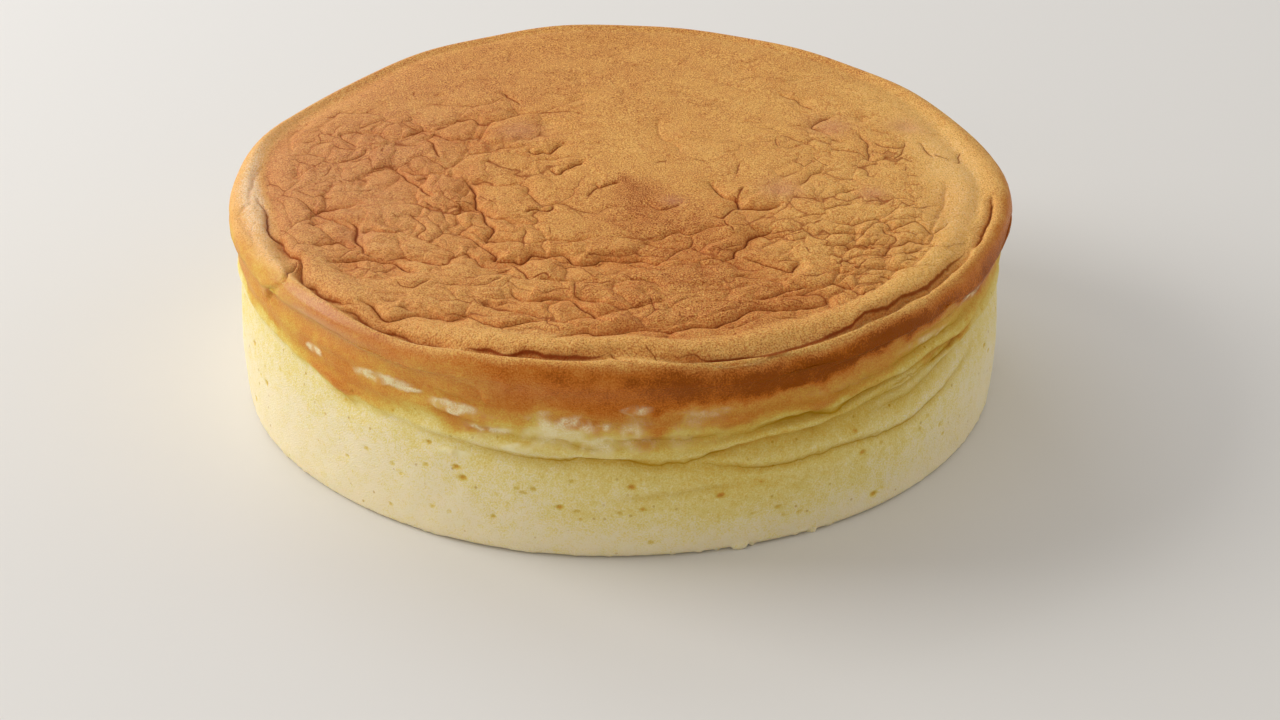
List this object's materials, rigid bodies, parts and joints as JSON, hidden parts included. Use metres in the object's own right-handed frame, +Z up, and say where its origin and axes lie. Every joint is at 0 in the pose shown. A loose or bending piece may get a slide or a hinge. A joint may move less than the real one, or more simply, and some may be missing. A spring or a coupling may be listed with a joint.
{
  "type": "jiggly cheesecake",
  "caption": "Whole uncut souffle cheesecake: a low round cake with pale straight sides, soft folds near the top and a browned, finely crackled crown with a rounded rim.",
  "frame": {"origin": "middle of the cake's flat underside, under the middle of its bounding box", "axes": "+Z up through the crown, +X to the cake's right and -Y towards its front, the side with the deepest folds"},
  "size_m": [0.2252, 0.2244, 0.0647],
  "materials": {
    "cake": "soft matt sponge: pale cream-yellow crumb on the sides, baked golden brown over the rim and the crown"
  },
  "bodies": {
    "root": {"cheesecake": "cake"}
  },
  "joints": []
}
